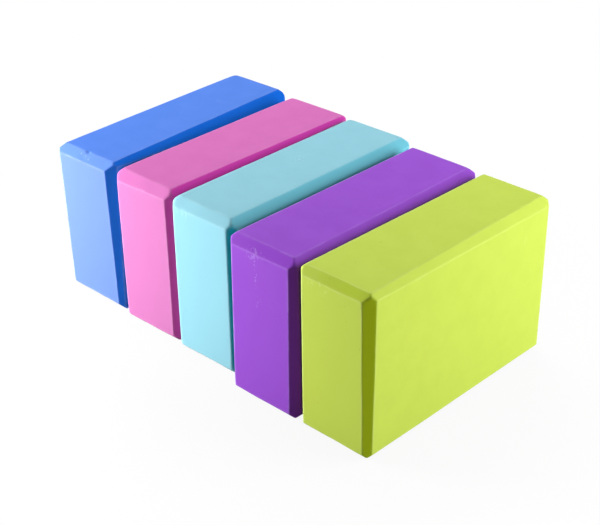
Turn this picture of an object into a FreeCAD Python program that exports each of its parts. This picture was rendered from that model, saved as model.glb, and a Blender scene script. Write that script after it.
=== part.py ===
"""A set of foam yoga blocks standing in a row on their long edges, in millimetres.

Each block is one solid of closed-cell foam with all twelve edges bevelled at
45 degrees and the edges of the bevels softened. The row runs along +X, the
length of a block along +Y and its height along +Z. The origin is the middle of
the row's box, on the surface that the blocks stand on.
"""

import FreeCAD
import Part

import math
import os

# One block, standing on its long edge
LENGTH = 230.0
HEIGHT = 150.0
THICKNESS = 75.0
BEVEL = 7.4
EDGE_ROUND = 1.2

# Clearance between neighbours where they come closest
BLUE_TO_PINK = 6.0
PINK_TO_AQUA = 1.0
AQUA_TO_PURPLE = 6.3
PURPLE_TO_LIME = 1.8

# How far the middle of each block lies behind the middle of the lime block, along the length
BLUE_SETBACK = 14.0
PINK_SETBACK = 13.0
AQUA_SETBACK = 11.5
PURPLE_SETBACK = -0.5

# Turn of each block from the lime block, in degrees, anticlockwise seen from above
BLUE_TURN = 1.4
PINK_TURN = 1.2
AQUA_TURN = 0.9
PURPLE_TURN = 0.2

# The row from its far end to its near end: name, clearance to the block before it, setback, turn
ROW = (
    ("blue_block", 0.0, BLUE_SETBACK, BLUE_TURN),
    ("pink_block", BLUE_TO_PINK, PINK_SETBACK, PINK_TURN),
    ("aqua_block", PINK_TO_AQUA, AQUA_SETBACK, AQUA_TURN),
    ("purple_block", AQUA_TO_PURPLE, PURPLE_SETBACK, PURPLE_TURN),
    ("lime_block", PURPLE_TO_LIME, 0.0, 0.0),
)

UP = FreeCAD.Vector(0, 0, 1)
FLOOR_POINT = FreeCAD.Vector(0, 0, 0)


def bevelled_block():
    """One block centred over the floor point: a rectangular blank, bevelled, then softened on every edge."""
    corner = FreeCAD.Vector(-THICKNESS / 2, -LENGTH / 2, 0)
    blank = Part.makeBox(THICKNESS, LENGTH, HEIGHT, corner)
    bevelled = blank.makeChamfer(BEVEL, blank.Edges)
    return bevelled.makeFillet(EDGE_ROUND, bevelled.Edges).Solids[0]


def pitch(clearance, turn_before, turn):
    """Distance along the row between two neighbours that leaves the clearance where they come closest."""
    swing = LENGTH / 2 * abs(math.sin(math.radians(turn - turn_before)))
    return THICKNESS / math.cos(math.radians(turn)) + clearance + swing


def standing_row():
    """The blocks by name, each turned about its own upright middle line, with the first one at x = 0."""
    row = {}
    along = 0.0
    turn_before = None
    for name, clearance, setback, turn in ROW:
        if turn_before is not None:
            along += pitch(clearance, turn_before, turn)
        block = bevelled_block()
        block.rotate(FLOOR_POINT, UP, turn)
        block.translate(FreeCAD.Vector(along, setback, 0))
        row[name] = block
        turn_before = turn
    return row


def centre_on_box(row):
    """Moves the whole row so that the origin is the middle of its box, at floor level."""
    box = Part.makeCompound(list(row.values())).optimalBoundingBox(False, False)
    shift = FreeCAD.Vector(-box.Center.x, -box.Center.y, -box.ZMin)
    for block in row.values():
        block.translate(shift)


def main():
    row = standing_row()
    centre_on_box(row)
    os.makedirs("parts", exist_ok=True)
    for name, block in row.items():
        block.exportStep(os.path.join("parts", name + ".step"))
        middle = block.CenterOfMass
        litres = block.Volume / 1e6
        print(f"{name}: middle {middle.x:.3f}, {middle.y:.3f}, {middle.z:.3f} mm, {litres:.4f} litres")


main()
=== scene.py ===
import itertools
import math
from typing import NamedTuple

import bpy
import numpy as np
from mathutils import Matrix, Vector


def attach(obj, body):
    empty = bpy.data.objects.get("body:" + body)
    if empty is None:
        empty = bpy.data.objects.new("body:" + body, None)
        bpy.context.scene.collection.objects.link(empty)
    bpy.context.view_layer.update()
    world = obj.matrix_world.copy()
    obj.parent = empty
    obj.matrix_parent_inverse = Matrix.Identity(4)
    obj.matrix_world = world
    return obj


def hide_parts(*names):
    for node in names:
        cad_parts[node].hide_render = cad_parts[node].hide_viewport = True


bl_info = {
    "name": "Foam block row",
    "version": (1, 0, 0),
    "blender": (4, 5, 0),
    "location": "3D View > Sidebar > Foam row",
    "description": "Bevelled closed-cell foam blocks standing in a row on their long edges",
    "category": "Object",
}

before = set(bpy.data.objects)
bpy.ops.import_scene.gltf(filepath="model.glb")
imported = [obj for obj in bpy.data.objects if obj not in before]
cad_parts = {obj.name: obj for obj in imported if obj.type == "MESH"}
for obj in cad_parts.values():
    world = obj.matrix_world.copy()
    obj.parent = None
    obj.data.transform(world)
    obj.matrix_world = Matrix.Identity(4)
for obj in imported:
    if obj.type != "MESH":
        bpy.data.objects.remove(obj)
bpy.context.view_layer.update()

MM = 0.001

# Outward normals of a block's six sides and twelve bevels, and the axis that each bevel runs along
SIDE_NORMALS = np.vstack((np.eye(3), -np.eye(3)))
DIAGONALS = [n for n in itertools.product((-1, 0, 1), repeat=3) if np.count_nonzero(n) == 2]
BEVEL_NORMALS = np.array(DIAGONALS) / math.sqrt(2)
BEVEL_ALONG = np.argmin(np.abs(BEVEL_NORMALS), axis=1)
PLANE_NORMALS = np.vstack((SIDE_NORMALS, BEVEL_NORMALS))

# Measuring a solid: a facet is upright where its normal rises by less than this
UPRIGHT_LIMIT = 0.01

# Cutting a block: samples along a crowded line, how sharp its crowding is as a share of the margin, halvings
# on the way to the surface, waves along a bevel, and how hollow a side is as a share of the deepest
LINE_SAMPLES = 4001
CROWDING_STEP = 0.25
HALVINGS = 24
BEVEL_WAVES = 3
HOLLOW_RANGE = (0.4, 1.0)

# Rubbed line along the rims, partly wear and partly painted highlight: the sides' share of a point between
# which it counts as flat, how far along the block an end begins, how strong it is on bevels against flats,
# along all rims, and on top of that at the ends and on the left-hand rims, where the extra is painted
# highlight, and the left side's share of a point at which the left-hand rims are over
FLAT_RANGE = (0.3, 0.7)
END_RANGE = (0.85, 0.95)
BEVEL_RUB_AND_HIGHLIGHT = 0.25
ALL_RUB_AND_HIGHLIGHT = 0.5
END_RUB_AND_HIGHLIGHT = 0.2
LEFT_HIGHLIGHT = 2.4
LEFT_SIDE_SHARE = 0.25

# Small dents from handling: how many there are on a block, how far they reach and how deep they go
DENTS = 14
DENT_REACH = (1.2 * MM, 3.2 * MM)
DENT_DEPTH = (0.04 * MM, 0.16 * MM)

# Share of a bevel across an end that counts as end for the ends' painted highlight
BEVEL_HIGHLIT_END = 0.5

# Foam tones: strength of the foam's own colour, a share of white where there is one, and how much each shows.
# The rubbed line is partly wear and partly painted highlight. The ends' painted highlight costs the colour
# several times its own share
CLOUD_TONES = (0.985, 1.015)
END_HIGHLIGHT_LOSS = 3.5
PORE_TONE = 0.6
PORE_SHOWS = 0.35
RUB_AND_HIGHLIGHT_TONE = 1.3
RUB_AND_HIGHLIGHT_WHITE = 0.35
RUB_AND_HIGHLIGHT_SHOWS = 0.7
SPECK_TONE = 0.7
SPECK_SHOWS = 0.5

# Foam surface: height of the slicing streaks against the cells, bump, roughness over the clouds, and gloss
STREAK_HEIGHT = 0.6
BUMP_STRENGTH = 0.35
BUMP_DEPTH = 0.12 * MM
ROUGHNESS = (0.76, 0.68)
GLOSS = 0.12

# Stage: half the floor's width, the camera's sensor in millimetres, and plain white
FLOOR_REACH = 4.0
SENSOR_WIDTH = 36.0
WHITE = (1.0, 1.0, 1.0, 1.0)


class Nick(NamedTuple):
    """A small dent: its place in half sizes of the block, its reach along the axes and its depth."""
    place: tuple
    reach: tuple
    depth: float


class Scuff(NamedTuple):
    """A rubbed patch: its place in half sizes of the block, its reach along the axes and its strength."""
    place: tuple
    reach: tuple
    strength: float


class BlockLook(NamedTuple):
    """What sets one block apart.

    It has a foam and a seed, how soft its edges and corners are, how much its ends are painted paler as
    highlight, and its marks. It throws light onto its neighbours, given as a level and as how much of its own
    colour that light carries. Two entries go by a bevel's outward normal: how much painted shade takes out of
    its colour, making the bevels that lie in shade deeper, and the legs that differ from the common one, at
    the low and the high end of its run, in millimetres.
    """
    foam: str
    seed: int
    softness: float
    corner: float
    # Painted shade on the bevels that lie in shade, by the bevel's outward normal
    glaze: dict
    # How much the ends are painted paler as highlight
    end_highlight: float
    throws: tuple
    legs: dict
    nicks: tuple
    scuffs: tuple


# Outward normals of the bevels that differ from the rest
RIGHT_TOP, LEFT_TOP = (1, 0, 1), (-1, 0, 1)
NEAR_TOP, FAR_TOP = (0, -1, 1), (0, 1, 1)
NEAR_RIGHT, NEAR_LEFT = (1, -1, 0), (-1, -1, 0)
FAR_RIGHT = (1, 1, 0)
NEAR_BOTTOM, RIGHT_BOTTOM = (0, -1, -1), (1, 0, -1)

# Per block, the deeper colour of the listed bevels is painted shade, and the paler ends are painted highlight
BLOCKS = {
    "blue_block": BlockLook(
        foam="blue", seed=11, softness=0.17 * MM, corner=0.35 * MM,
        glaze={RIGHT_TOP: 0.092, NEAR_RIGHT: 0.08}, end_highlight=0.08, throws=(0.34, 0.1),
        legs={RIGHT_TOP: (3.6, 13.4), LEFT_TOP: (6.0, 1.8), FAR_TOP: (3.2, 3.2), NEAR_RIGHT: (3.9, 8.2),
              NEAR_LEFT: (8.2, 4.2), NEAR_BOTTOM: (10.4, 8.4), RIGHT_BOTTOM: (3.0, 7.4)},
        nicks=(Nick((0.0, -0.936, 1.0), (1.9 * MM, 1.6 * MM, 1.7 * MM), 1.8 * MM),
               Nick((-0.04, -0.985, 0.93), (1.6 * MM, 1.3 * MM, 1.3 * MM), 0.45 * MM)),
        scuffs=(Scuff((-0.04, -0.97, 0.95), (6 * MM, 4 * MM, 4 * MM), 0.8),
                Scuff((0.1, 0.45, 1.0), (9 * MM, 3 * MM, 4 * MM), 0.4)),
    ),
    "pink_block": BlockLook(
        foam="pink", seed=23, softness=0.20 * MM, corner=0.9 * MM,
        glaze={RIGHT_TOP: 0.118, NEAR_RIGHT: 0.085}, end_highlight=0.05, throws=(0.44, 0.1),
        legs={RIGHT_TOP: (7.6, 3.4), LEFT_TOP: (5.6, 5.6), NEAR_TOP: (8.9, 7.4), NEAR_RIGHT: (7.4, 8.1),
              NEAR_LEFT: (7.4, 6.2)},
        nicks=(Nick((0.0, -1.0, 0.89), (1.8 * MM, 1.4 * MM, 1.4 * MM), 0.6 * MM),),
        scuffs=(Scuff((-0.05, -1.0, 0.88), (7 * MM, 4 * MM, 4 * MM), 0.6),),
    ),
    "aqua_block": BlockLook(
        foam="aqua", seed=37, softness=0.36 * MM, corner=0.6 * MM,
        glaze={RIGHT_TOP: 0.12, NEAR_RIGHT: 0.285}, end_highlight=0.0, throws=(0.42, 0.1),
        legs={LEFT_TOP: (5.0, 5.0), NEAR_RIGHT: (6.9, 6.9), NEAR_LEFT: (5.0, 5.0), FAR_RIGHT: (5.0, 5.0)},
        nicks=(Nick((-0.6, -1.0, 0.9), (2.2 * MM, 1.4 * MM, 1.6 * MM), 0.5 * MM),),
        scuffs=(Scuff((-0.5, -1.0, 0.87), (10 * MM, 4 * MM, 4 * MM), 0.5),
                Scuff((-0.2, 0.1, 1.0), (12 * MM, 16 * MM, 4 * MM), 0.3)),
    ),
    "purple_block": BlockLook(
        foam="purple", seed=41, softness=0.24 * MM, corner=0.35 * MM,
        glaze={NEAR_TOP: 0.038, NEAR_RIGHT: 0.03}, end_highlight=0.0, throws=(0.18, 0.1),
        legs={RIGHT_TOP: (5.6, 6.9), LEFT_TOP: (6.2, 5.0), FAR_TOP: (4.8, 6.4), NEAR_RIGHT: (7.2, 5.6),
              NEAR_LEFT: (5.0, 6.5), FAR_RIGHT: (4.6, 4.6)},
        nicks=(Nick((0.26, -1.0, 0.87), (2.0 * MM, 1.4 * MM, 1.4 * MM), 0.7 * MM),
               Nick((-0.12, -0.98, 0.9), (1.6 * MM, 1.4 * MM, 1.4 * MM), 0.5 * MM)),
        scuffs=(Scuff((-0.14, -0.99, 0.88), (8 * MM, 5 * MM, 7 * MM), 1.0),
                Scuff((-0.12, -1.0, 0.62), (1.6 * MM, 4 * MM, 12 * MM), 0.9),
                Scuff((-0.05, -1.0, 0.36), (4 * MM, 4 * MM, 9 * MM), 0.6)),
    ),
    "lime_block": BlockLook(
        foam="lime", seed=59, softness=0.17 * MM, corner=0.35 * MM,
        glaze={NEAR_TOP: 0.066, NEAR_RIGHT: 0.088}, end_highlight=0.0, throws=(0.3, 1.0),
        legs={RIGHT_TOP: (4.6, 7.6), LEFT_TOP: (4.7, 7.4), NEAR_TOP: (6.3, 6.3), NEAR_RIGHT: (5.7, 8.0),
              NEAR_LEFT: (6.2, 6.2)},
        nicks=(Nick((-0.2, -1.0, 0.9), (2.0 * MM, 1.2 * MM, 1.4 * MM), 0.4 * MM),),
        scuffs=(Scuff((-0.35, -0.99, 0.87), (12 * MM, 4 * MM, 7 * MM), 0.6),
                Scuff((1.0, 0.66, 0.62), (4 * MM, 6 * MM, 5 * MM), 0.45)),
    ),
}


class FoamColours(bpy.types.PropertyGroup):
    """Colour of each block's foam."""
    blue: bpy.props.FloatVectorProperty(
        name="Blue foam", description="Colour of the block at the far end of the row",
        subtype="COLOR", min=0, max=1, default=(0.080, 0.222, 0.770))
    pink: bpy.props.FloatVectorProperty(
        name="Pink foam", description="Colour of the block beside the blue one",
        subtype="COLOR", min=0, max=1, default=(0.665, 0.156, 0.484))
    aqua: bpy.props.FloatVectorProperty(
        name="Aqua foam", description="Colour of the middle block",
        subtype="COLOR", min=0, max=1, default=(0.290, 0.622, 0.735))
    purple: bpy.props.FloatVectorProperty(
        name="Purple foam", description="Colour of the block beside the lime one",
        subtype="COLOR", min=0, max=1, default=(0.326, 0.080, 0.650))
    lime: bpy.props.FloatVectorProperty(
        name="Lime foam", description="Colour of the block at the near end of the row",
        subtype="COLOR", min=0, max=1, default=(0.595, 0.748, 0.096))


class BlockForm(bpy.types.PropertyGroup):
    """Shape that all the blocks share, cut from foam that is never quite true."""
    bevel: bpy.props.FloatProperty(
        name="Bevel leg", description="How far most bevels reach along each of the two sides they join",
        unit="LENGTH", default=7.4 * MM)
    bevel_waver: bpy.props.FloatProperty(
        name="Bevel waver", description="How much the leg of a bevel wanders along its run",
        unit="LENGTH", default=0.12 * MM)
    corner_reach: bpy.props.FloatProperty(
        name="Corner reach", description="How far the extra rounding of the corners reaches",
        unit="LENGTH", default=10 * MM)
    side_hollow: bpy.props.FloatProperty(
        name="Side hollow", description="How far the middle of a side lies below its rim",
        unit="LENGTH", default=0.3 * MM)
    side_step: bpy.props.FloatProperty(
        name="Side step", description="Distance between grid lines on the sides",
        unit="LENGTH", default=2.2 * MM)
    edge_step: bpy.props.FloatProperty(
        name="Edge step", description="Distance between grid lines where a bevel begins",
        unit="LENGTH", default=0.36 * MM)
    edge_margin: bpy.props.FloatProperty(
        name="Edge margin", description="How far the close grid lines go on past where the bevels begin",
        unit="LENGTH", default=1.4 * MM)
    core_depth: bpy.props.FloatProperty(
        name="Core depth", description="Depth of the core that the rays to the surface start from",
        unit="LENGTH", default=13 * MM)


class FoamFinish(bpy.types.PropertyGroup):
    """Finish that all the foams share."""
    cell_size: bpy.props.FloatProperty(
        name="Cell size", description="Width of one closed cell on a cut side",
        unit="LENGTH", default=0.55 * MM)
    pore_spacing: bpy.props.FloatProperty(
        name="Pore spacing", description="Distance between the larger open pores",
        unit="LENGTH", default=7 * MM)
    cloud_size: bpy.props.FloatProperty(
        name="Cloud size", description="Width of the paler and deeper clouds in the foam",
        unit="LENGTH", default=22 * MM)
    # Wear scales the rubbed line, which is partly wear and partly painted highlight, and the scuffs and
    # specks
    wear: bpy.props.FloatProperty(
        name="Wear", description="How much the edges and handled places are rubbed pale",
        subtype="FACTOR", min=0, max=1, default=0.7)
    # Reach of the rubbed line, which is partly wear and partly painted highlight
    edge_reach: bpy.props.FloatProperty(
        name="Edge reach", description="How far from an edge the rubbed line spreads",
        unit="LENGTH", default=0.36 * MM)
    # Painted shade: how far the deeper colour of the shaded right-hand bevels runs onto the right side, into
    # the gap
    painted_shade_reach: bpy.props.FloatProperty(
        name="Glaze reach", description="How far the glaze of the right-hand bevels runs onto the right side",
        unit="LENGTH", default=5 * MM)
    painted_shade_spill: bpy.props.FloatProperty(
        name="Glaze spill", description="Share of the deepest glaze that the right side has at its rim",
        subtype="FACTOR", min=0, max=1, default=0.6)


class StageSettings(bpy.types.PropertyGroup):
    """Floor, softboxes and camera."""
    azimuth: bpy.props.FloatProperty(
        name="Azimuth", description="Turn of the camera about the row, from in front of the block ends",
        subtype="ANGLE", default=math.radians(44.49))
    elevation: bpy.props.FloatProperty(
        name="Elevation", description="Height of the camera above the horizon",
        subtype="ANGLE", default=math.radians(29.19))
    roll: bpy.props.FloatProperty(
        name="Roll", description="Tilt of the camera about its own line of sight",
        subtype="ANGLE", default=math.radians(-0.73))
    distance: bpy.props.FloatProperty(
        name="Distance", description="From the camera to the point it looks at",
        unit="LENGTH", default=1146.8 * MM)
    lens: bpy.props.FloatProperty(
        name="Lens", description="Focal length in millimetres on a 36 mm sensor", default=79.2)
    target: bpy.props.FloatVectorProperty(
        name="Target", description="Point that the camera looks at",
        subtype="XYZ", unit="LENGTH", default=(29.3 * MM, -21.6 * MM, 75 * MM))
    left_power: bpy.props.FloatProperty(
        name="Left softbox", description="Power of the softbox that lights the block ends",
        unit="POWER", default=8.4)
    right_power: bpy.props.FloatProperty(
        name="Right softbox", description="Power of the softbox that lights the last block's broad side",
        unit="POWER", default=10.6)
    top_power: bpy.props.FloatProperty(
        name="Top softbox", description="Power of the softbox above the far end of the row",
        unit="POWER", default=9.8)
    back_power: bpy.props.FloatProperty(
        name="Back softbox", description="Power of the softbox that lifts the long bevels from behind",
        unit="POWER", default=3.2)
    ambient: bpy.props.FloatProperty(
        name="Room light", description="Strength of the even light from all round", default=0.02)
    floor_shade: bpy.props.FloatProperty(
        name="Floor shade", description="How much of the shading on the white floor the camera sees",
        subtype="FACTOR", min=0, max=1, default=0.09)
    shade_near: bpy.props.FloatProperty(
        name="Shade to here", description="From the row's middle to where the floor's shade starts to fade",
        unit="LENGTH", default=200 * MM)
    shade_far: bpy.props.FloatProperty(
        name="White from here", description="From the row's middle to where the floor is plain white",
        unit="LENGTH", default=450 * MM)
    floor_white: bpy.props.FloatProperty(
        name="Floor white", description="Paleness of the floor where it is seen",
        subtype="FACTOR", min=0, max=1, default=0.92)
    floor_bounce: bpy.props.FloatProperty(
        name="Floor bounce", description="Share of the light that the floor throws back onto the blocks",
        subtype="FACTOR", min=0, max=1, default=0.5)


class FoamRow(bpy.types.PropertyGroup):
    """Everything that can be changed about the row."""
    colours: bpy.props.PointerProperty(type=FoamColours)
    form: bpy.props.PointerProperty(type=BlockForm)
    finish: bpy.props.PointerProperty(type=FoamFinish)
    stage: bpy.props.PointerProperty(type=StageSettings)


# Shape of a block

def standing_place(node):
    """Middle, half sizes and turn of a block, read from its solid.

    The largest upright facet lies on a broad side, so its normal gives the turn. The reach of the solid's
    points, once turned back, gives the half sizes.
    """
    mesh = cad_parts[node].data
    normals = np.empty(3 * len(mesh.polygons))
    mesh.polygons.foreach_get("normal", normals)
    normals = normals.reshape(-1, 3)
    areas = np.empty(len(mesh.polygons))
    mesh.polygons.foreach_get("area", areas)
    upright = np.abs(normals[:, 2]) < UPRIGHT_LIMIT
    broad = normals[np.argmax(areas * upright)]
    turn = math.atan(broad[1] / broad[0])
    points = np.empty(3 * len(mesh.vertices))
    mesh.vertices.foreach_get("co", points)
    points = points.reshape(-1, 3) @ upright_turn(turn)
    low, high = points.min(0), points.max(0)
    return upright_turn(turn) @ ((low + high) / 2), (high - low) / 2, turn


def upright_turn(angle):
    """Rotation matrix about the upright axis."""
    c, s = math.cos(angle), math.sin(angle)
    return np.array(((c, -s, 0.0), (s, c, 0.0), (0.0, 0.0, 1.0)))


def crowded_lines(half, least, most, form):
    """Places of grid lines from -half to half, crowded where the bevels begin.

    The number of lines to a metre is even, and is raised between the least and the most leg by one logistic
    step up and one down. The lines stand where its running sum passes equal steps.
    """
    places = np.linspace(-half, half, LINE_SAMPLES)
    from_end = half - np.abs(places)
    width = CROWDING_STEP * form.edge_margin
    rise = 1 + np.exp((least - form.edge_margin - from_end) / width)
    fall = 1 + np.exp((from_end - most - form.edge_margin) / width)
    density = 1 / form.side_step + (1 / form.edge_step - 1 / form.side_step) / (rise * fall)
    running = np.concatenate(([0.0], np.cumsum((density[1:] + density[:-1]) / 2 * np.diff(places))))
    steps = np.linspace(0, running[-1], int(round(running[-1])) + 1)
    return np.interp(steps, running, places)


def ramp(values, low, high):
    """Zero up to low, one from high on, and even in between."""
    return np.clip((values - low) / (high - low), 0, 1)


def shell_lattice(counts):
    """Places on the skin of a box lattice, as whole-number triples, and the outward quads between them."""
    quads = []
    for axis in range(3):
        across, along = (axis + 1) % 3, (axis + 2) % 3
        u, v = np.meshgrid(np.arange(counts[across]), np.arange(counts[along]), indexing="ij")
        for level in (0, counts[axis] - 1):
            place = np.empty((3,) + u.shape, int)
            place[axis], place[across], place[along] = level, u, v
            number = np.ravel_multi_index(tuple(place), counts)
            ring = (number[:-1, :-1], number[1:, :-1], number[1:, 1:], number[:-1, 1:])
            quad = np.stack(ring, -1).reshape(-1, 4)
            quads.append(quad if level else quad[:, ::-1])
    used, quads = np.unique(np.concatenate(quads), return_inverse=True)
    return np.stack(np.unravel_index(used, counts), -1), quads.reshape(-1, 4)


class CutBlock:
    """One block as cut: how far any point lies beyond its side and bevel planes.

    A side plane is hollowed by the product of two parabolas across it. The leg of a bevel goes evenly from
    its low to its high end, plus a few sine waves whose phases come from the block's seed.
    """

    def __init__(self, half, form, look):
        self.half = half
        self.form = form
        self.look = look
        self.random = np.random.default_rng(look.seed)
        self.phases = self.random.uniform(0, 2 * math.pi, (BEVEL_WAVES, len(BEVEL_NORMALS)))
        self.hollow = form.side_hollow * self.random.uniform(*HOLLOW_RANGE, 3)
        self.legs = np.full((len(BEVEL_NORMALS), 2), form.bevel)
        for normal, ends in look.legs.items():
            self.legs[DIAGONALS.index(normal)] = np.array(ends) * MM
        self.glaze = np.array([look.glaze.get(normal, 0.0) for normal in DIAGONALS])

    def depths(self, points):
        """Distance of each point beyond each of the eighteen planes, below zero inside."""
        share = points / self.half
        bow = np.clip(1 - share ** 2, 0, None)
        reach = self.half - self.hollow * np.roll(bow, -1, 1) * np.roll(bow, -2, 1)
        run = share[:, BEVEL_ALONG]
        waves = sum(np.sin(math.pi * (n + 1) * run + self.phases[n]) / (n + 1) for n in range(BEVEL_WAVES))
        legs = self.legs.mean(1) + np.diff(self.legs)[:, 0] / 2 * run + self.form.bevel_waver * waves
        bevels = points @ BEVEL_NORMALS.T - np.abs(BEVEL_NORMALS) @ self.half + legs / math.sqrt(2)
        return np.hstack((points - reach, -points - reach, bevels))

    def softness(self, points):
        """Rounding length at each point: the block's own, and more towards the eight corners."""
        from_corner = (self.half - np.abs(points)) / self.form.corner_reach
        return self.look.softness + self.look.corner * np.exp(-(from_corner ** 2).sum(1))

    def smooth_greatest(self, points, softness):
        """Smooth greatest depth, k times the log of the sum of exp(depth / k), and each plane's share."""
        depths = self.depths(points)
        greatest = depths.max(1)
        parts = np.exp((depths - greatest[:, None]) / softness[:, None])
        total = parts.sum(1)
        return greatest + softness * np.log(total), parts / total[:, None]

    def surface(self):
        """Points of the block's skin about its own middle, each plane's share at them, and the quads.

        The points start on a box of the block's size, on crowded lines. Each moves along the ray from the
        block's core through it to where the smooth greatest depth is zero, found by halving.
        """
        lines = []
        for axis, half in enumerate(self.half):
            met = self.legs[BEVEL_ALONG != axis]
            lines.append(crowded_lines(half, met.min(), met.max(), self.form))
        lattice, quads = shell_lattice(tuple(len(line) for line in lines))
        outer = np.stack([line[lattice[:, axis]] for axis, line in enumerate(lines)], -1)
        inner = np.clip(outer, self.form.core_depth - self.half, self.half - self.form.core_depth)
        low, high = np.zeros(len(outer)), np.ones(len(outer))
        for _ in range(HALVINGS):
            middle = (low + high) / 2
            points = inner + middle[:, None] * (outer - inner)
            beyond = self.smooth_greatest(points, self.softness(points))[0] > 0
            high = np.where(beyond, middle, high)
            low = np.where(beyond, low, middle)
        points = inner + low[:, None] * (outer - inner)
        return points, self.smooth_greatest(points, self.softness(points))[1], quads

    def painted_shade_and_pale_ends(self, points, shares, finish):
        """How much painted shade a point has, as a share of the block's deepest, and how far it lies on an
        end that is painted paler as highlight.

        Both come from the planes' shares. The painted shade of a bevel across an end deepens evenly from none
        on the left to double on the right. Where the long bevel on the right has painted shade, it runs on
        round the edge onto the right side, down into the gap, and fades by a bell curve. The bevels across
        the ends count as half end.
        """
        sides, bevels = np.split(shares, (len(SIDE_NORMALS),), 1)
        deepening = 1 + np.outer(points[:, 0] / self.half[0], BEVEL_ALONG == 0)
        glaze = (bevels * deepening) @ self.glaze / self.glaze.max()
        # Painted shade on the right side's rim, in the gap beside the next block
        if RIGHT_TOP in self.look.glaze:
            from_rim = np.minimum(self.half[1] + points[:, 1], self.half[2] - points[:, 2])
            beyond = np.clip(from_rim - self.form.bevel, 0, None)
            spill = finish.painted_shade_spill * np.exp(-(beyond / finish.painted_shade_reach) ** 2)
            glaze += spill * (sides @ (SIDE_NORMALS[:, 0] > 0))
        return glaze, sides @ np.abs(SIDE_NORMALS[:, 1]) + bevels @ (BEVEL_HIGHLIT_END * (BEVEL_ALONG == 0))

    def rub_and_highlight_line(self, points, reach):
        """How much the rims of the sides are rubbed pale, partly as wear and partly as painted highlight, and
        zero away from edges.

        It comes from how evenly the planes share a point. It is weaker on the bevels than on the sides, a
        little weaker along the long edges than at the ends, and strongest along the left-hand rims of the
        top and the near end, where the extra is painted highlight.
        """
        shares = self.smooth_greatest(points, np.full(len(points), reach))[1]
        even = np.clip(2 * (1 - (shares ** 2).sum(1)), 0, 1)
        sides, bevels = np.split(shares, (len(SIDE_NORMALS),), 1)
        flat = ramp(sides.sum(1), *FLAT_RANGE)
        near_end = ramp(np.abs(points[:, 1]) / self.half[1], *END_RANGE)
        # Painted highlight along the left-hand rims of the top and the near end
        left = bevels[:, [DIAGONALS.index(LEFT_TOP), DIAGONALS.index(NEAR_LEFT)]].sum(1)
        left *= 1 - ramp(sides @ (SIDE_NORMALS[:, 0] < 0), 0, LEFT_SIDE_SHARE)
        strength = ALL_RUB_AND_HIGHLIGHT + END_RUB_AND_HIGHLIGHT * near_end + LEFT_HIGHLIGHT * left
        return even * (BEVEL_RUB_AND_HIGHLIGHT + (1 - BEVEL_RUB_AND_HIGHLIGHT) * flat) * strength

    def bells(self, points, marks):
        """Bell curve of each mark at each point, as an array of marks by points."""
        places = np.array([mark.place for mark in marks]) * self.half
        reaches = np.array([mark.reach for mark in marks])
        return np.exp(-(((points - places[:, None]) / reaches[:, None]) ** 2).sum(2))

    def handled_nicks(self, points, rub):
        """Small dents that handling leaves along the rims, at places drawn from the block's seed and weighted
        by the rubbed line, which includes its painted highlight.
        """
        places = points[self.random.choice(len(points), DENTS, p=rub / rub.sum())] / self.half
        reaches = self.random.uniform(*DENT_REACH, (DENTS, 3))
        depths = self.random.uniform(*DENT_DEPTH, DENTS)
        return tuple(Nick(tuple(p), tuple(r), d) for p, r, d in zip(places, reaches, depths))


def block_mesh(node, row):
    """Mesh of one block in its place in the row, with its painted shade, its ends painted paler as highlight,
    its rubbed line with painted highlight, and its scuffs as attributes.
    """
    middle, half, turn = standing_place(node)
    block = CutBlock(half, row.form, BLOCKS[node])
    points, shares, quads = block.surface()
    normals = shares @ PLANE_NORMALS
    normals /= np.linalg.norm(normals, axis=1)[:, None]
    # Painted shade on the shaded bevels, and the ends that are painted paler as highlight
    glaze, cut_end = block.painted_shade_and_pale_ends(points, shares, row.finish)
    # Rubbed line, partly wear and partly painted highlight
    rub = block.rub_and_highlight_line(points, row.finish.edge_reach)
    nicks = block.look.nicks + block.handled_nicks(points, rub)
    depth = np.array([nick.depth for nick in nicks]) @ block.bells(points, nicks)
    scuff = np.array([mark.strength for mark in block.look.scuffs]) @ block.bells(points, block.look.scuffs)
    points = (points - depth[:, None] * normals) @ upright_turn(turn).T + middle
    mesh = bpy.data.meshes.new(node)
    mesh.from_pydata(points, [], quads)
    mesh.shade_smooth()
    for name, values in (("rub", rub), ("scuff", scuff), ("glaze", glaze), ("cut_end", cut_end)):
        mesh.attributes.new(name, "FLOAT", "POINT").data.foreach_set("value", values.astype(np.float32))
    return mesh


# Node helpers

def add(tree, kind, settings=None, **inputs):
    """A node of that kind, with each input set to a value or joined to a socket. A_b names input "A b"."""
    made = tree.nodes.new(kind)
    for name, value in (settings or {}).items():
        setattr(made, name, value)
    for name, value in inputs.items():
        plug(tree, value, made.inputs[name.replace("_", " ")])
    return made


def plug(tree, value, socket):
    """Joins a socket to an input, or sets the input's own value."""
    if isinstance(value, bpy.types.NodeSocket):
        tree.links.new(value, socket)
    else:
        socket.default_value = value


def calc(tree, operation, first, second=0.0, clamp=False):
    """Result of a Math node."""
    made = tree.nodes.new("ShaderNodeMath")
    made.operation = operation
    made.use_clamp = clamp
    plug(tree, first, made.inputs[0])
    plug(tree, second, made.inputs[1])
    return made.outputs[0]


def blend_colour(tree, share, first, second):
    """Colour between first and second by share. A Mix node's colour sockets come after its other kinds."""
    made = tree.nodes.new("ShaderNodeMix")
    made.data_type = "RGBA"
    for value, index in ((share, 0), (first, 6), (second, 7)):
        plug(tree, value, made.inputs[index])
    return made.outputs[2]


def steps(tree, value, low, high, to_low=0.0, to_high=1.0):
    """Smooth step of a value from low to high."""
    made = add(tree, "ShaderNodeMapRange", {"interpolation_type": "SMOOTHSTEP"}, Value=value, From_Min=low,
               From_Max=high, To_Min=to_low, To_Max=to_high)
    return made.outputs["Result"]


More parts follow.
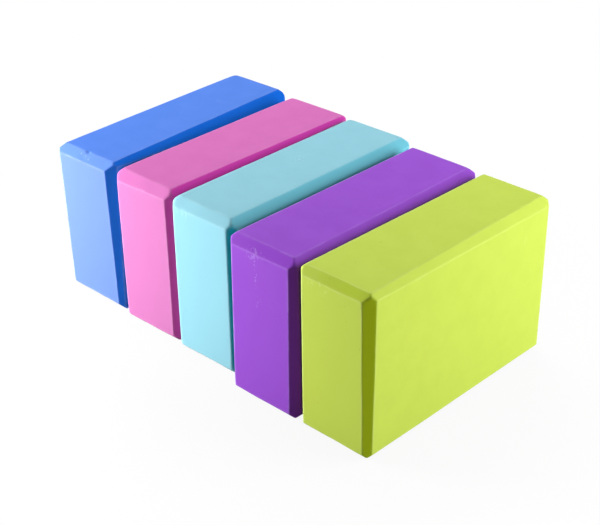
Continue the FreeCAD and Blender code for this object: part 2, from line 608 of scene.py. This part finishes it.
def stretched(tree, place, factors):
    """A place times a factor on each axis. A texture on it is drawn out where the factor is small."""
    made = tree.nodes.new("ShaderNodeVectorMath")
    made.operation = "MULTIPLY"
    plug(tree, place, made.inputs[0])
    made.inputs[1].default_value = factors
    return made.outputs[0]


def new_group(name, inputs, outputs):
    """An empty shader node group with those sockets, and its input and output nodes."""
    tree = bpy.data.node_groups.new(name, "ShaderNodeTree")
    for label, kind in inputs.items():
        tree.interface.new_socket(label, in_out="INPUT", socket_type=kind)
    for label in outputs:
        tree.interface.new_socket(label, in_out="OUTPUT", socket_type="NodeSocketFloat")
    return tree, tree.nodes.new("NodeGroupInput").outputs, tree.nodes.new("NodeGroupOutput").inputs


# Foam effects

# Cell grain: how blurred the cups are, the number and height of the swells against the cups, a pore's largest
# size and the width of its edge as shares of the pore spacing, and its depth
CUP_BLUR = 0.4
SWELLS = 0.12
SWELL_HEIGHT = 1.2
PORE_LARGEST = 0.11
PORE_EDGE = 0.03
PORE_DEPTH = 2.0

# Slab clouds: the noise between which a cloud fades in, and the number and upward stretch of the streaks
CLOUD_FADE = (0.3, 0.7)
STREAKS = 14.0
STREAK_STRETCH = 0.05

# Rubbed line, partly wear and partly painted highlight: breaks to a metre, the noise between which they
# fade, and the line's weakest and full strength
LINE_BREAKS = 55.0
BREAK_FADE = (0.4, 0.7)
LINE_STRENGTH = (0.4, 1.0)

# Scuffs: where one begins, how much it adds to the noise of its marks and how strongly they show. Torn flecks
# and scratches to a metre, the scratches' upward stretch, and the noise between which each mark fades in
SCUFF_FADE = (0.04, 0.3)
SCUFF_LIFT = 0.2
SCUFF_SHOWS = 0.6
FLECKS = 430.0
SCRATCHES = 420.0
SCRATCH_STRETCH = 0.07
FLECK_FADE = (0.68, 0.76)
SCRATCH_FADE = (0.72, 0.80)
PIT_FADE = (0.76, 0.82)

# Specks: cells to a metre, the chance between which a cell gets one, its largest size and its edge's width
SPECK_CELLS = 90.0
SPECK_CHANCE = (0.75, 1.0)
SPECK_LARGEST = 0.07
SPECK_EDGE = 0.02


def cell_grain():
    """Group of the cut foam's grain: the cups of sliced cells as a height, and open pores as a mask."""
    tree, given, put = new_group(
        "cut cell grain",
        {"Place": "NodeSocketVector", "Cell Size": "NodeSocketFloat", "Pore Spacing": "NodeSocketFloat"},
        ("Height", "Pores"))
    cups = add(tree, "ShaderNodeTexVoronoi", {"feature": "SMOOTH_F1"}, Vector=given["Place"],
               Scale=calc(tree, "DIVIDE", 1.0, given["Cell Size"]), Smoothness=CUP_BLUR)
    swell = add(tree, "ShaderNodeTexNoise", Vector=given["Place"], Detail=2.0,
                Scale=calc(tree, "DIVIDE", SWELLS, given["Cell Size"]))
    pores = add(tree, "ShaderNodeTexVoronoi", {"feature": "F1"}, Vector=given["Place"],
                Scale=calc(tree, "DIVIDE", 1.0, given["Pore Spacing"]))
    chance = add(tree, "ShaderNodeSeparateColor", Color=pores.outputs["Color"]).outputs[0]
    size = calc(tree, "MULTIPLY", chance, PORE_LARGEST)
    hole = calc(tree, "SUBTRACT", size, pores.outputs["Distance"])
    mask = steps(tree, hole, 0.0, PORE_EDGE)
    swollen = calc(tree, "MULTIPLY", swell.outputs["Fac"], SWELL_HEIGHT)
    height = calc(tree, "ADD", cups.outputs["Distance"], swollen)
    plug(tree, calc(tree, "SUBTRACT", height, calc(tree, "MULTIPLY", mask, PORE_DEPTH)), put["Height"])
    plug(tree, mask, put["Pores"])
    return tree


def slab_clouds():
    """Group of the slab's own unevenness: broad clouds of paler foam, and fine streaks from slicing."""
    tree, given, put = new_group(
        "slab clouds",
        {"Place": "NodeSocketVector", "Cloud Size": "NodeSocketFloat"},
        ("Clouds", "Streaks"))
    scale = calc(tree, "DIVIDE", 1.0, given["Cloud Size"])
    clouds = add(tree, "ShaderNodeTexNoise", Vector=given["Place"], Scale=scale, Detail=5.0, Roughness=0.6)
    drawn = stretched(tree, given["Place"], (1.0, 1.0, STREAK_STRETCH))
    streaks = add(tree, "ShaderNodeTexNoise", Vector=drawn, Detail=2.0, Roughness=0.7,
                  Scale=calc(tree, "MULTIPLY", scale, STREAKS))
    plug(tree, steps(tree, clouds.outputs["Fac"], *CLOUD_FADE), put["Clouds"])
    plug(tree, streaks.outputs["Fac"], put["Streaks"])
    return tree


def handling_wear():
    """Group of handling wear and painted edge highlight, as two masks.

    The first is a broken pale line along the edges, partly wear and partly painted highlight, with torn
    flecks and upright scratches in the scuffs, more of them towards a scuff's middle. Specks are stray dark
    specks and the pits of the scuffs.
    """
    tree, given, put = new_group(
        "handling wear",
        {"Place": "NodeSocketVector", "Rub": "NodeSocketFloat", "Scuff": "NodeSocketFloat",
         "Amount": "NodeSocketFloat"},
        ("Rubbed", "Specks"))
    broken = add(tree, "ShaderNodeTexNoise", Vector=given["Place"], Scale=LINE_BREAKS, Detail=4.0,
                 Roughness=0.65)
    kept = steps(tree, broken.outputs["Fac"], *BREAK_FADE, *LINE_STRENGTH)
    line = calc(tree, "MULTIPLY", given["Rub"], kept)
    lift = calc(tree, "MULTIPLY", given["Scuff"], SCUFF_LIFT)
    within = steps(tree, given["Scuff"], *SCUFF_FADE)
    fleck = add(tree, "ShaderNodeTexNoise", Vector=given["Place"], Scale=FLECKS, Detail=2.0, Roughness=0.55)
    drawn = stretched(tree, given["Place"], (1.0, 1.0, SCRATCH_STRETCH))
    scratch = add(tree, "ShaderNodeTexNoise", Vector=drawn, Scale=SCRATCHES, Detail=1.0)
    torn = steps(tree, calc(tree, "ADD", fleck.outputs["Fac"], lift), *FLECK_FADE)
    scored = steps(tree, calc(tree, "ADD", scratch.outputs["Fac"], lift), *SCRATCH_FADE)
    shown = calc(tree, "MULTIPLY", within, SCUFF_SHOWS)
    patch = calc(tree, "MULTIPLY", shown, calc(tree, "MAXIMUM", torn, scored))
    second = add(tree, "ShaderNodeSeparateColor", Color=fleck.outputs["Color"]).outputs[1]
    pits = calc(tree, "MULTIPLY", within, steps(tree, calc(tree, "ADD", second, lift), *PIT_FADE))
    specks = add(tree, "ShaderNodeTexVoronoi", Vector=given["Place"], Scale=SPECK_CELLS)
    chance = add(tree, "ShaderNodeSeparateColor", Color=specks.outputs["Color"]).outputs[1]
    size = calc(tree, "MULTIPLY", steps(tree, chance, *SPECK_CHANCE), SPECK_LARGEST)
    speck = steps(tree, calc(tree, "SUBTRACT", size, specks.outputs["Distance"]), 0.0, SPECK_EDGE)
    marks = calc(tree, "MAXIMUM", line, patch)
    spots = calc(tree, "MAXIMUM", speck, pits)
    plug(tree, calc(tree, "MULTIPLY", marks, given["Amount"], clamp=True), put["Rubbed"])
    plug(tree, calc(tree, "MULTIPLY", spots, given["Amount"], clamp=True), put["Specks"])
    return tree


FOAM_EFFECTS = {"cut cell grain": cell_grain, "slab clouds": slab_clouds, "handling wear": handling_wear}


def effect(tree, name, **inputs):
    """Outputs of a foam effect placed in a material. Its group is built the first time it is used."""
    group = bpy.data.node_groups.get(name) or FOAM_EFFECTS[name]()
    return add(tree, "ShaderNodeGroup", {"node_tree": group}, **inputs).outputs


def tint(colour, strength, white=0.0):
    """A colour made deeper or paler by strength, then mixed with white."""
    return tuple(min(1.0, (1 - white) * strength * c + white) for c in colour) + (1.0,)


def deeper(colour, glaze):
    """A colour for painted shade: each part with an amount taken off, brought back up to the same strongest
    part.
    """
    gain = max(colour) / (max(colour) - glaze)
    return tuple(gain * max(0.0, c - glaze) for c in colour) + (1.0,)


def thrown_light(colour, level, own):
    """The light that a block throws back: a grey level that takes on the block's own colour by a share."""
    return tuple(level * (1 - own + own * c) for c in colour) + (1.0,)


def foam_material(look, row):
    """Matte closed-cell foam in one colour, with painted shade on the shaded bevels, ends painted paler as
    highlight, grain, clouds, pores, and rubbed rims that are partly wear and partly painted highlight.
    """
    colour = getattr(row.colours, look.foam)
    finish = row.finish
    material = bpy.data.materials.new(look.foam + "_foam")
    material.use_nodes = True
    tree = material.node_tree
    tree.nodes.clear()
    place = add(tree, "ShaderNodeTexCoord").outputs["Object"]
    rub, scuff, glaze, cut_end = (
        add(tree, "ShaderNodeAttribute", {"attribute_name": name}).outputs["Fac"]
        for name in ("rub", "scuff", "glaze", "cut_end"))
    grain = effect(tree, "cut cell grain", Place=place, Cell_Size=finish.cell_size,
                   Pore_Spacing=finish.pore_spacing)
    slab = effect(tree, "slab clouds", Place=place, Cloud_Size=finish.cloud_size)
    wear = effect(tree, "handling wear", Place=place, Rub=rub, Scuff=scuff, Amount=finish.wear)
    clouded = blend_colour(tree, slab["Clouds"], *(tint(colour, strength) for strength in CLOUD_TONES))
    # Painted shade: a deeper colour on the bevels that lie in shade and on the right side's rim beside them
    shade_painted = blend_colour(tree, glaze, clouded, deeper(colour, max(look.glaze.values())))
    # Painted highlight: the ends are paler
    end_highlit = blend_colour(tree, cut_end, shade_painted, tint(colour, 1 - END_HIGHLIGHT_LOSS * look.end_highlight, look.end_highlight))
    pores = calc(tree, "MULTIPLY", grain["Pores"], PORE_SHOWS)
    pored = blend_colour(tree, pores, end_highlit, tint(colour, PORE_TONE))
    # Rubbed line along the rims, partly wear and partly painted highlight, and the scuffs
    rims = calc(tree, "MULTIPLY", wear["Rubbed"], RUB_AND_HIGHLIGHT_SHOWS)
    rubbed_and_highlit = blend_colour(tree, rims, pored, tint(colour, RUB_AND_HIGHLIGHT_TONE, RUB_AND_HIGHLIGHT_WHITE))
    specks = calc(tree, "MULTIPLY", wear["Specks"], SPECK_SHOWS)
    specked = blend_colour(tree, specks, rubbed_and_highlit, tint(colour, SPECK_TONE))
    bounced = add(tree, "ShaderNodeLightPath").outputs["Is Diffuse Ray"]
    thrown = blend_colour(tree, bounced, specked, thrown_light(colour, *look.throws))
    relief = calc(tree, "ADD", grain["Height"], calc(tree, "MULTIPLY", slab["Streaks"], STREAK_HEIGHT))
    bump = add(tree, "ShaderNodeBump", Strength=BUMP_STRENGTH, Distance=BUMP_DEPTH, Height=relief)
    rough = add(tree, "ShaderNodeMapRange", Value=slab["Clouds"], To_Min=ROUGHNESS[0], To_Max=ROUGHNESS[1])
    shader = add(tree, "ShaderNodeBsdfPrincipled", Base_Color=thrown, Roughness=rough.outputs["Result"],
                 Normal=bump.outputs["Normal"])
    shader.inputs["Specular IOR Level"].default_value = GLOSS
    output = add(tree, "ShaderNodeOutputMaterial")
    tree.links.new(shader.outputs["BSDF"], output.inputs["Surface"])
    return material


# Stage

def white_backing(stage):
    """Floor material: white to the camera and in gloss, with some of its own shading near the blocks."""
    material = bpy.data.materials.new("white_floor")
    material.use_nodes = True
    tree = material.node_tree
    tree.nodes.clear()
    seen = seen_directly(tree)
    bounce, white = stage.floor_bounce, stage.floor_white
    paint = blend_colour(tree, seen, (bounce, bounce, bounce, 1.0), (white, white, white, 1.0))
    plain = add(tree, "ShaderNodeBsdfDiffuse", Color=paint)
    glow = add(tree, "ShaderNodeEmission", Color=WHITE, Strength=1.0)
    place = add(tree, "ShaderNodeTexCoord").outputs["Object"]
    away = add(tree, "ShaderNodeVectorMath", {"operation": "LENGTH"}, Vector=place).outputs["Value"]
    bright = steps(tree, away, stage.shade_near, stage.shade_far, 1 - stage.floor_shade, 1.0)
    share = calc(tree, "MULTIPLY", seen, bright)
    mixed = tree.nodes.new("ShaderNodeMixShader")
    for value, index in ((share, 0), (plain.outputs[0], 1), (glow.outputs[0], 2)):
        plug(tree, value, mixed.inputs[index])
    output = add(tree, "ShaderNodeOutputMaterial")
    tree.links.new(mixed.outputs[0], output.inputs["Surface"])
    return material


def seen_directly(tree):
    """One for what the camera sees, straight, in a gloss or through glass, and zero for rays of light."""
    ray = add(tree, "ShaderNodeLightPath").outputs
    gloss = calc(tree, "MAXIMUM", ray["Is Glossy Ray"], ray["Is Transmission Ray"])
    return calc(tree, "MAXIMUM", ray["Is Camera Ray"], gloss)


def room_light(stage):
    """World: white where it is seen, and a low even light elsewhere."""
    world = bpy.data.worlds.new("white_room")
    world.use_nodes = True
    tree = world.node_tree
    tree.nodes.clear()
    seen = seen_directly(tree)
    strength = calc(tree, "MAXIMUM", seen, stage.ambient)
    glow = add(tree, "ShaderNodeBackground", Color=WHITE, Strength=strength)
    output = add(tree, "ShaderNodeOutputWorld")
    tree.links.new(glow.outputs[0], output.inputs["Surface"])
    bpy.context.scene.world = world


class Softbox(NamedTuple):
    """Where a softbox stands, the point that it faces, its width and its height, in metres."""
    place: tuple
    aim: tuple
    width: float
    height: float


SOFTBOXES = {
    "left": Softbox((-0.51, -0.45, 0.20), (-0.1, -0.1, 0.09), 0.36, 0.36),
    "right": Softbox((0.95, 0.48, 0.36), (0.2, 0.0, 0.10), 0.80, 0.68),
    "top": Softbox((-0.70, 0.45, 0.90), (0.0, 0.0, 0.12), 1.1, 0.7),
    "back": Softbox((0.60, 0.60, 0.90), (0.0, 0.0, 0.10), 0.9, 0.9),
}


def hang_softbox(name, box, power):
    """Area light at a softbox's place, turned to face its point."""
    light = bpy.data.lights.new(name, "AREA")
    light.shape = "RECTANGLE"
    light.size = box.width
    light.size_y = box.height
    light.energy = power
    lamp = bpy.data.objects.new(name, light)
    bpy.context.scene.collection.objects.link(lamp)
    lamp.location = box.place
    lamp.rotation_mode = "QUATERNION"
    lamp.rotation_quaternion = (Vector(box.aim) - Vector(box.place)).to_track_quat("-Z", "Y")
    lamp.visible_camera = False


def place_camera(stage):
    """Camera on a ball around its target, by azimuth, elevation, distance and roll."""
    a, e, r = stage.azimuth, stage.elevation, stage.roll
    back = Vector((math.sin(a) * math.cos(e), -math.cos(a) * math.cos(e), math.sin(e)))
    level = Vector((math.cos(a), math.sin(a), 0.0))
    upward = back.cross(level)
    right = level * math.cos(r) + upward * math.sin(r)
    up = upward * math.cos(r) - level * math.sin(r)
    data = bpy.data.cameras.new("camera")
    data.lens = stage.lens
    data.sensor_width = SENSOR_WIDTH
    camera = bpy.data.objects.new("camera", data)
    bpy.context.scene.collection.objects.link(camera)
    turn = Matrix((right, up, back)).transposed().to_4x4()
    camera.matrix_world = Matrix.Translation(Vector(stage.target) + back * stage.distance) @ turn
    bpy.context.scene.camera = camera


# Operators

class FOAMROW_OT_block(bpy.types.Operator):
    """Build one foam block over its solid and stand it in the row"""
    bl_idname = "foam_row.block"
    bl_label = "Foam block"

    node: bpy.props.EnumProperty(
        name="Block", description="Which block of the row to build",
        items=[(node, node.replace("_", " ").capitalize(), "") for node in BLOCKS])

    def execute(self, context):
        row = context.scene.foam_row
        look = BLOCKS[self.node]
        piece = bpy.data.objects.new("foam_" + self.node, block_mesh(self.node, row))
        context.scene.collection.objects.link(piece)
        piece.data.materials.append(foam_material(look, row))
        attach(piece, self.node)
        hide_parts(self.node)
        return {"FINISHED"}


class FOAMROW_OT_stage(bpy.types.Operator):
    """Lay the white floor, set the softboxes and place the camera"""
    bl_idname = "foam_row.stage"
    bl_label = "Stage"

    def execute(self, context):
        stage = context.scene.foam_row.stage
        floor_mesh = bpy.data.meshes.new("floor")
        corners = [(x * FLOOR_REACH, y * FLOOR_REACH, 0) for x, y in ((-1, -1), (1, -1), (1, 1), (-1, 1))]
        floor_mesh.from_pydata(corners, [], [(0, 1, 2, 3)])
        floor_mesh.materials.append(white_backing(stage))
        floor = bpy.data.objects.new("floor", floor_mesh)
        context.scene.collection.objects.link(floor)
        for name, box in SOFTBOXES.items():
            hang_softbox(name + "_softbox", box, getattr(stage, name + "_power"))
        room_light(stage)
        place_camera(stage)
        context.scene.view_settings.view_transform = "Standard"
        return {"FINISHED"}


class FOAMROW_PT_panel(bpy.types.Panel):
    """Sidebar panel with the row's settings and build buttons"""
    bl_idname = "FOAMROW_PT_panel"
    bl_label = "Foam block row"
    bl_space_type = "VIEW_3D"
    bl_region_type = "UI"
    bl_category = "Foam row"

    def draw(self, context):
        row = context.scene.foam_row
        for title in ("colours", "form", "finish", "stage"):
            box = self.layout.box()
            box.label(text=title.capitalize())
            group = getattr(row, title)
            for name in group.__annotations__:
                box.prop(group, name)
        for node in BLOCKS:
            label = node.replace("_", " ").capitalize()
            self.layout.operator(FOAMROW_OT_block.bl_idname, text=label).node = node
        self.layout.operator(FOAMROW_OT_stage.bl_idname)


CLASSES = (FoamColours, BlockForm, FoamFinish, StageSettings, FoamRow, FOAMROW_OT_block, FOAMROW_OT_stage,
           FOAMROW_PT_panel)


def register():
    """Adds the classes and the scene's settings."""
    for item in CLASSES:
        bpy.utils.register_class(item)
    bpy.types.Scene.foam_row = bpy.props.PointerProperty(type=FoamRow)


def unregister():
    """Takes the settings and the classes away again."""
    del bpy.types.Scene.foam_row
    for item in reversed(CLASSES):
        bpy.utils.unregister_class(item)


def main():
    """Builds the blocks and the stage."""
    register()
    for node in BLOCKS:
        bpy.ops.foam_row.block(node=node)
    bpy.ops.foam_row.stage()


if __name__ == "__main__":
    main()
